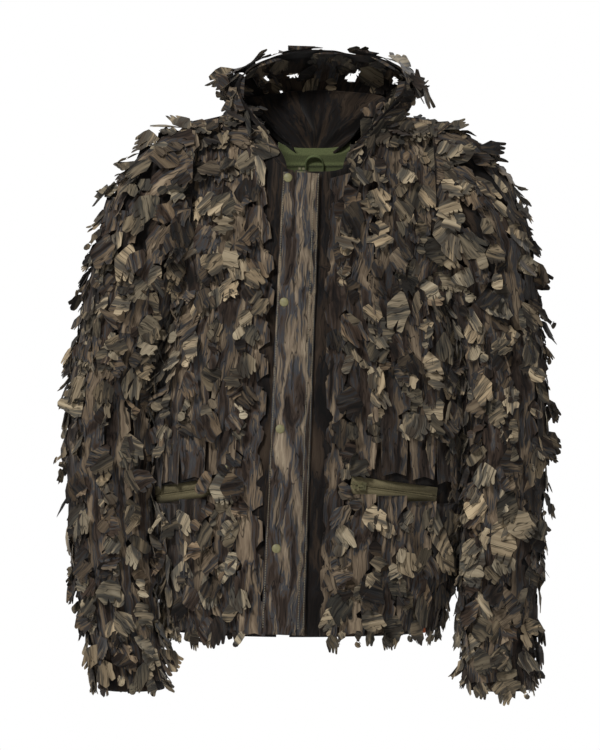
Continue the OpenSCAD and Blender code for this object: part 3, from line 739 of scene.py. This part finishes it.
def leaf_ribbon(pile, point, out, s0, s1, a_mid, half_w, gap=24, stand=1.0, tone=1.0, ways=(-1, 1),
                clear=ENDS_CLEAR):
    """One ribbon down the surface point(s, a) from s0 to s1 at angle a_mid. Notches and kite holes show where
    flaps were cut; each flap hangs from the top of its notch or hole, on the sides in ways and none of them
    within clear mm of the bottom."""
    samples = 70
    path = [surface_frame(point, mix(s0, s1, i / samples), a_mid, out) for i in range(samples + 1)]
    run = [0.0]
    for (p, *_), (q, *_) in zip(path, path[1:]):
        run.append(run[-1] + (q - p).length / MM)
    total = run[-1]

    def settle(x, y, lift):
        """The place x mm across and y mm down the ribbon, lift mm proud, with the directions there."""
        y = min(max(y, 0.0), total)
        i = next((k for k in range(1, samples + 1) if run[k] >= y), samples)
        s = mix(s0, s1, (i - 1 + (y - run[i - 1]) / max(1e-6, run[i] - run[i - 1])) / samples)
        _, _, _, da = surface_frame(point, s, a_mid, out)
        p, normal, ds, da = surface_frame(point, s, a_mid + x * MM / max(0.03, da.length), out)
        return p + normal * lift * MM, normal, ds.normalized() * (1 if s1 > s0 else -1), da.normalized()

    def edge(way):
        """The torn side of the ribbon from top to bottom, and the roots of the flaps cut from it."""
        points, roots = [], []
        y = rng.uniform(0, gap)
        while y < total - clear:
            w = half_w * rng.uniform(0.86, 1.12)
            length = rng.uniform(22, 34)
            deep = w * rng.uniform(0.30, 0.75)
            points += [(way * w, -y), (way * (w - deep * 0.4), -y - 3), (way * (w - deep), -y - length * 0.42),
                       (way * (w - deep * 0.9), -y - length * 0.62), (way * (w - deep * 0.35), -y - length * 0.72),
                       (way * (w - deep * 0.5), -y - length * 0.84), (way * w * 0.98, -y - length)]
            if way in ways:
                roots.append((way * (w - deep * 0.5), -y - rng.uniform(2, 8), way))
            y += length + rng.uniform(0.5, 1.5) * gap
        return points, roots

    left, left_roots = edge(-1)
    right, right_roots = edge(1)
    holes, roots = [], left_roots + right_roots
    y = rng.uniform(10, 60)
    while y < total - clear - 19:
        w, length = half_w * rng.uniform(0.28, 0.42), rng.uniform(16, 30)
        x = rng.uniform(-0.25, 0.25) * half_w
        hole = [(x, -y), (x - w, -y - length * 0.4), (x - w * 0.7, -y - length * 0.75),
                (x - w * 0.2, -y - length * 0.7), (x, -y - length), (x + w * 0.8, -y - length * 0.8),
                (x + w, -y - length * 0.45)]
        if all(abs(y0 + y) > 4 + length and abs(y0 + y + length) > 34 for _, y0, _ in roots if abs(y0 + y) < 60):
            holes.append(hole)
            roots.append((x, -y - 1, rng.choice(ways)))
        y += rng.uniform(45, 90)
    outline = [(-half_w, 0)] + left + [(-half_w * 0.8, -total), (half_w * 0.2, -total + 5), (half_w * 0.9, -total)]
    outline += right[::-1] + [(half_w, 0)]
    verts, faces = cut(outline, holes, 8.0)
    seed = rng.uniform(0, 50)
    places = []
    for v in verts:
        out_w = abs(v.x) / half_w
        wave = noise.noise(Vector((v.x * 0.04 + seed, v.y * 0.022, 0)))
        ruffle = noise.noise(Vector((v.x * 0.10, v.y * 0.06, seed)))
        proud = 2.0 + max(0.0, 4.5 * out_w * out_w + 8.0 * out_w * wave + 2.0 * ruffle)
        places.append(settle(v.x, -v.y, proud)[0])
    prints = [(v.x * MM + seed, v.y * MM + seed) for v in verts]
    level = rng.uniform(0.72, 1.12) * tone
    pile.add(places, faces, prints, (level, level * 0.98, level * 0.95), 0)
    for x, y, way in roots:
        root, normal, down, across = settle(x, -y, 3.5)
        hang_leaf(pile, root, normal, down, across, way * rng.uniform(-0.1, 0.85), rng.uniform(0.9, 1.2), stand, tone)
        if rng.random() < 0.45:
            root, normal, down, across = settle(x * 0.85, rng.uniform(6, 26) - y, 3.0)
            hang_leaf(pile, root, normal, down, across, way * rng.uniform(-0.5, 1.1), rng.uniform(0.6, 0.95), stand,
                      tone)
    if clear == ENDS_CLEAR:
        for way in ways:
            root, normal, down, across = settle(way * half_w * 0.5, total - 8, 3.0)
            hang_leaf(pile, root, normal, down, across, way * rng.uniform(-0.4, 0.8), 0.62, stand, tone)


leaf_groups = {}


def leaf_piece(name, node, build):
    """One piece of ribbons and flaps; the first piece of a node replaces it."""
    pile = Pile()
    build(pile)
    obj = pile.make(name, (ribbon_cloth, leaf_cloth), LEAF_THICK)
    if node not in leaf_groups:
        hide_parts(node)
    leaf_groups.setdefault(node, []).append(obj)
    return obj


# Each column is its angle round the body and its top and bottom. Columns over a pocket stop above its zip and
# start again below it.
TOP_S = 1 + 0.95 / HIGH_RATE
BESIDE_FLAP, DRAPED = 10, -33
front_columns = {
    RIGHT: [(-22, TOP_S - 0.06, 0.0), (DRAPED, TOP_S, 0.417), (DRAPED, 0.366, 0.0),
            (-47, TOP_S, 0.405), (-47, 0.355, 0.0), (-55, TOP_S, 0.90), (-62, 0.95, 0.392), (-62, 0.343, 0.0),
            (-75, 0.94, 0.380), (-75, 0.330, 0.0), (-87, 0.92, 0.0)],
    LEFT: [(BESIDE_FLAP, 1.34, 0.0), (20, TOP_S - 0.04, 0.435), (20, 0.37, 0.0), (33, TOP_S, 0.417), (33, 0.366, 0.0),
           (47, TOP_S, 0.405), (47, 0.350, 0.0), (55, TOP_S, 0.90), (62, 0.95, 0.392), (62, 0.343, 0.0),
           (75, 0.94, 0.0), (87, 0.92, 0.0)],
}
back_columns = [(phi, 0.80 if abs(phi) > 60 else TOP_S if abs(phi) > 30 else 1.33, 0.0)
                for phi in range(-78, 79, 13)]
body_columns = [("leaves_front_right", FRONT, 1, front_columns[RIGHT]),
                ("leaves_front_left", FRONT, 1, front_columns[LEFT]), ("leaves_back", BACK, -1, back_columns)]
for node, facing, out, columns in body_columns:
    for number, (phi, top, bottom) in enumerate(columns):
        def build(pile):
            def at(s, a):
                return body(s, a, facing)

            if top > 1.2 and abs(phi) > 30:
                for turn in (phi - 3, phi + 3, phi + 8):
                    root, normal, ds, da = surface_frame(at, 1.36, radians(turn), out)
                    hang_leaf(pile, root + Vector((0, 0, 5 * MM)), normal, -ds.normalized(), da.normalized(),
                              rng.uniform(-0.8, 0.8), 1.05, 0.9, 0.9)
            above_pocket = 0.37 < bottom < 0.43
            if above_pocket and phi == DRAPED:
                for turn in (phi - 5, phi, phi + 4):
                    root, normal, ds, da = surface_frame(at, bottom + 0.01, radians(turn), out)
                    hang_leaf(pile, root + normal * 9 * MM, normal, -ds.normalized(), da.normalized(),
                              rng.uniform(-0.5, 0.5), 1.1, 0.6, 0.9)
            by_flap = facing == FRONT and -30 < phi < 15
            half_w = 14 if phi == BESIDE_FLAP else rng.uniform(19, 24)
            stand = 0.3 if phi == BESIDE_FLAP else 0.8 if facing == FRONT else 0.5
            leaf_ribbon(pile, at, out, top, bottom, radians(phi), half_w, stand=stand,
                        ways=(copysign(1, phi),) if by_flap else (-1, 1),
                        clear=POCKET_CLEAR if above_pocket else ENDS_CLEAR)
        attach(leaf_piece(f"{node}_{number + 1}", node, build), "jacket")

for side, name in ((RIGHT, "right"), (LEFT, "left")):
    for part in ("upper", "lower"):
        node = "leaves_" + part + "_sleeve_" + name
        for number, w in enumerate((-176, -143, -106, -67, -28, 14, 56, 98, 140)):
            if part == "upper":
                s0, s1 = 0.04, SPLIT_S + rng.uniform(-0.2, 0.6)
            else:
                s0, s1 = SPLIT_S - 0.2, rng.uniform(11.75, 12.0)

            def build(pile):
                def at(s, a):
                    return sleeve(s, a, side)

                if part == "upper" and abs(w) < 150:
                    for turn in (w - 16, w - 5, w + 5, w + 16):
                        root, normal, ds, da = surface_frame(at, rng.uniform(0.0, 0.5), radians(turn), -side)
                        down = (ds.normalized() - Vector((0, 0, 1.6))).normalized()
                        hang_leaf(pile, root + normal * 3 * MM, normal, down, da.normalized(), rng.uniform(-0.8, 0.4),
                                  1.05, 0.5, 0.9)
                leaf_ribbon(pile, at, -side, s0, s1, radians(w), rng.uniform(17, 21), 17)
            blend_sleeve(leaf_piece(f"{node}_{number + 1}", node, build), side, part)

for number, t in enumerate((-76, -54, -31, -8, 15, 38, 60, 78)):
    def build(pile):
        bottom = 0.22 if abs(t) < 60 else 0.40
        leaf_ribbon(pile, hood, -1, 0.99, bottom, radians(t), 19, stand=0.35)
        leaf_ribbon(pile, hood, 1, 0.99, 0.50, radians(t + 9), 20, gap=12, stand=0.5, tone=0.8)
        for turn in (t - 7, t, t + 7):
            turn = max(-86, min(86, turn))
            root, normal, df, da = surface_frame(hood, 0.97, radians(turn), -1)
            outer = (-df.normalized() + Vector((0, 0, -1)) * (abs(turn) / 90)).normalized()
            hang_leaf(pile, root + normal * 2 * MM, normal, outer, da.normalized(),
                      rng.choice((-1, 1)) * rng.uniform(0.7, 1.3), 1.0, 0.2, 0.7)
    piece = leaf_piece(f"leaves_hood_{number + 1}", "leaves_hood", build)
    punch(piece.data)
    blend_hood(piece)


# ---------- Storm flap ----------
# A doubled strip of the shell cloth, sewn down its left edge over the zip and snapped along its right edge. It is
# creased across where it was folded for packing.
flap_cloth = bark_cloth("printed_woven_polyester_flap", BARK_STOPS, (15, 90), (3.6, 34), "#fbf6ee")
zip_top = Vector((ZIP_X, BODY_Y - NECK_DEPTH, FRONT_NECK_Z))
zip_turn = (Matrix.Rotation(ZIP_LEAN, 4, "Y") @ Matrix.Rotation(-FRONT_SLOPE, 4, "X")
            @ Matrix.Rotation(pi / 2, 4, "Y"))


def on_zip_line(x, y, z):
    return zip_top + zip_turn @ Vector((x, y, z))


FLAP_RISE = [(0, 10), (0.2, 10), (0.4, 10), (0.6, 12), (0.8, 9), (1, 4.6)]
flap_from, flap_to = 0.005, 0.652
FLAP_CREASES = (-0.366, -0.507)


def flap_point(s, v):
    x = mix(flap_from, flap_to, s)
    w = mix(0.052, 0.060, s)
    return on_zip_line(x, -lookup(v, FLAP_RISE) * MM, w * (v - 0.5))


def flap_fold(p):
    crease = sum(exp(-((p.z - z) / 0.004) ** 2) for z in FLAP_CREASES)
    return (0.9 * noise.noise(Vector((p.x * 30, p.y * 30, p.z * 9))) - crease) * MM


flap = cloth_sheet("storm_flap_cloth", flap_point, steps(1, 0, 160), steps(0, 1, 22), 1, flap_fold, thick=1.6 * MM)
flap.data.materials.append(flap_cloth)
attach(flap, "flap")
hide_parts("storm_flap")


# ---------- Neck facing ----------
# Olive brushed knit sewn inside the back neck, in two depths with a seam between. It looks soft, with a pale sheen
# at its edges and fine ribs, drawn here a little coarser than they are.
knit, tree, shader = new_material("olive_brushed_knit", 0.92, Sheen_Weight=0.35, Sheen_Roughness=0.4)
uv = add(tree, "UVMap", {"uv_map": "print"})
rib_at = add(tree, "Mapping", {"Scale": (1 / (1.5 * MM), 1 / (1.5 * MM), 1)}, {"Vector": uv.outputs["UV"]})
rib = add(tree, "TexNoise", {"Scale": 1.0, "Detail": 3.0}, {"Vector": rib_at.outputs["Vector"]})
knit_colour = add(tree, "ValToRGB", None, {"Fac": rib.outputs["Fac"]}, [(0.3, "#454c2c"), (0.7, "#666d45")])
tree.links.new(knit_colour.outputs["Color"], shader.inputs["Base Color"])
loops = add(tree, "Bump", {"Strength": 0.5, "Distance": 0.4 * MM}, {"Height": rib.outputs["Fac"]})
tree.links.new(loops.outputs["Normal"], shader.inputs["Normal"])


def facing_point(k, a):
    above = max(0.0, k - 1)
    return body_high(min(k, 1.0), a, BACK) + Vector((0, 0.02 * above - 0.007, 0.1 * above))


def facing_fold(p):
    return -1.8 * exp(-((p.z + 0.011) / 0.0022) ** 2) * MM


facing_cloth = cloth_sheet("neck_facing_knit", facing_point, steps(0.70, 1.10, 50), steps(-0.27, 0.27, 40), -1,
                           facing_fold, thick=1.4 * MM)
facing_cloth.data.materials.append(knit)
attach(facing_cloth, "jacket")
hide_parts("neck_facing")


# ---------- Finishes of the frame's own pieces ----------
# Tapes, teeth, sliders, snaps, bags, bar tack, tab and loop keep the frame's shapes. They are sewn, moulded or cast,
# and most are enamelled or dyed to go with the cloth.
def plain(name, colour, dark, grain, roughness, metallic=0.0):
    """A moulded, cast or woven part with a slight mottle at the grain's scale."""
    made, tree, shader = new_material(name, roughness, Metallic=metallic)
    at = add(tree, "TexCoord")
    mottle = add(tree, "TexNoise", {"Scale": 1 / grain, "Detail": 3.0}, {"Vector": at.outputs["Object"]})
    colours = add(tree, "ValToRGB", None, {"Fac": mottle.outputs["Fac"]}, [(0.3, dark), (0.7, colour)])
    tree.links.new(colours.outputs["Color"], shader.inputs["Base Color"])
    bump = add(tree, "Bump", {"Strength": 0.3, "Distance": 0.1 * MM}, {"Height": mottle.outputs["Fac"]})
    tree.links.new(bump.outputs["Normal"], shader.inputs["Normal"])
    return made


# Tapes, thread and pocketing are matt and mottled by their threads. Acetal teeth and enamel give a small soft gleam,
# and only the brass inside the snaps shines as metal.
finishes = {
    "khaki_tape": plain("khaki_woven_zip_tape", "#766c4e", "#5b543c", 1.2 * MM, 0.9),
    "khaki_teeth": plain("khaki_moulded_acetal", "#6b644a", "#56513d", 3 * MM, 0.45),
    "dark_tape": plain("brown_woven_zip_tape", "#40382e", "#2b261f", 1.2 * MM, 0.9),
    "dark_teeth": plain("brown_moulded_acetal", "#332e27", "#24211c", 3 * MM, 0.45),
    "zip_metal": plain("khaki_enamelled_zinc", "#6b6746", "#545037", 4 * MM, 0.45, 0.1),
    "snap_cap": plain("khaki_enamelled_brass_cap", "#85805a", "#716c49", 5 * MM, 0.5),
    "snap_inner": plain("bare_brass_snap", "#a08c4f", "#7d6c3c", 5 * MM, 0.3, 1.0),
    "pocket_cloth": plain("plain_brown_pocketing", "#3d332b", "#2a241e", 1.5 * MM, 0.9),
    "pale_thread": plain("pale_satin_stitch_thread", "#a59c83", "#7f7761", 0.8 * MM, 0.7),
    "orange_tab": plain("orange_woven_tab", "#b8633c", "#94492a", 1.0 * MM, 0.85),
    "twill_tape": plain("olive_twill_tape", "#66704a", "#566038", 1.0 * MM, 0.9),
}


# ---------- Flap topstitching ----------
# Rows of pale satin thread, one beside the snapped edge and two beside the sewn edge. They hold the flap's two
# layers together, and each stitch is a short raised dash.
STITCH_ROWS, STITCH_RUN = (0.035, 0.845, 0.965), 0.640
STITCH_LONG, STITCH_STEP = 2.3 * MM, 3.4 * MM
stitches = Pile()


def stitch_row(length, at):
    """Short stitches along a row; at(distance) gives a place and the way out of the cloth."""
    y = 0.0
    while y < length - 2.4 * MM:
        a, out = at(y)
        b, _ = at(y + STITCH_LONG)
        side = (b - a).cross(out).normalized() * 0.45 * MM
        rise = out * 0.5 * MM
        places = [a - side, a + side, b + side, b - side, a - side * 0.3 + rise, a + side * 0.3 + rise,
                  b + side * 0.3 + rise, b - side * 0.3 + rise]
        stitches.add(places, [(0, 1, 5, 4), (1, 2, 6, 5), (2, 3, 7, 6), (3, 0, 4, 7), (4, 5, 6, 7), (3, 2, 1, 0)],
                     [(0, 0)] * 8, (1, 1, 1), 0)
        y += STITCH_STEP


def on_flap(y, v):
    """The place on the flap's face y down its length at width v, and the way out of it."""
    s = y / (flap_to - flap_from)
    p = flap_point(s, v)
    out = (p - flap_point(s, v + 0.02)).cross(flap_point(s + 0.01, v) - p).normalized()
    out = out if out.y < 0 else -out
    return p + out * 0.15 * MM, out


for v in STITCH_ROWS:
    stitch_row(STITCH_RUN, lambda y: on_flap(y, v))
topstitch = stitches.make("flap_topstitching", [finishes["pale_thread"]])
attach(topstitch, "flap")


# ---------- Pocket zips ----------
# Khaki reverse-coil zips: two woven tapes that meet edge to edge, with the coil's small loops along the join.
TAPE_W, COIL_PITCH, COIL_L = 12.4 * MM, 2.1 * MM, 0.116
for side, name in ((RIGHT, "right"), (LEFT, "left")):
    start, end = POCKETS[side]
    along = (end - start).normalized()
    across = (Vector((0, 0, 1)) - along * along.z).normalized()
    outward = along.cross(across)
    outward = outward if outward.y < 0 else -outward
    zip_pile = Pile()

    def block(x0, x1, z0, z1, y0, y1, skew=0.0):
        corners = [(x, y, z) for y in (y0, y1) for x, z in ((x0, z0), (x1, z0), (x1 + skew, z1), (x0 + skew, z1))]
        places = [start + along * x + outward * y + across * z for x, y, z in corners]
        zip_pile.add(places, [(0, 1, 2, 3), (7, 6, 5, 4), (0, 4, 5, 1), (1, 5, 6, 2), (2, 6, 7, 3), (3, 7, 4, 0)],
                     [(x, z) for x, _, z in corners], (1, 1, 1), 0)

    for way in (-1, 1):
        block(-0.012, COIL_L + 0.005, 0.25 * MM * way, TAPE_W * way, 1.2 * MM, 1.9 * MM)
        x = 0.001
        while x < COIL_L - COIL_PITCH:
            block(x, x + 1.1 * MM, 0.5 * MM * way, 2.6 * MM * way, 1.8 * MM, 2.35 * MM, 0.7 * MM)
            x += COIL_PITCH
    tape = zip_pile.make(f"pocket_zip_{name}", [finishes["khaki_tape"]])
    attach(tape, "jacket")
    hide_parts(f"pocket_tapes_{name}", f"pocket_teeth_{name}")


# ---------- Remaining pieces ----------
# The small fittings and tapes that are shown as the frame has them each take the finish of their material.
slots = {row["node"]: row["material_slot"] for row in frame["record"]["subparts"]}
for node, obj in frame["nodes"].items():
    if slots.get(node) in finishes and not obj.hide_render:
        obj.data.materials.clear()
        obj.data.materials.append(finishes[slots[node]])


for side, name in ((RIGHT, "right"), (LEFT, "left")):
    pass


# ---------- Stage ----------
# A plain pale paper sweep, matt and even. Two soft studio lights stand in front and one behind, so that the back
# is lit as well.
floor_mesh = bpy.data.meshes.new("floor")
floor_mesh.from_pydata([(-2.2, -2.4, -1.0), (2.2, -2.4, -1.0), (2.2, 0.9, -1.0), (-2.2, 0.9, -1.0)], [],
                       [(0, 1, 2, 3)])
floor = new_object("floor", floor_mesh)
floor_finish, _, shader = new_material("pale_paper_sweep", 0.9)
shader.inputs["Base Color"].default_value = srgb("#f4f4f4")
floor.data.materials.append(floor_finish)
world = bpy.data.worlds.new("studio")
world.use_nodes = True
background = world.node_tree.nodes["Background"]
background.inputs["Color"].default_value = (1, 1, 1, 1)
seen = add(world.node_tree, "LightPath")
dimmed = add(world.node_tree, "MapRange", {"To Min": 0.13, "To Max": 1.0},
             {"Value": seen.outputs["Is Camera Ray"]})
world.node_tree.links.new(dimmed.outputs["Result"], background.inputs["Strength"])
bpy.context.scene.world = world
bpy.context.scene.view_settings.view_transform = "Standard"
for name, place, size, power in (("key", (-1.3, -2.7, 1.8), 0.7, 93), ("fill", (0.6, -3.4, -0.1), 1.2, 10),
                                ("back", (0.9, 2.6, 1.5), 1.4, 70)):
    lamp = bpy.data.lights.new(name, "AREA")
    lamp.size = size
    lamp.energy = power
    light = new_object(name, lamp)
    light.location = place
    light.rotation_euler = (middle - Vector(place)).to_track_quat("-Z", "Y").to_euler()
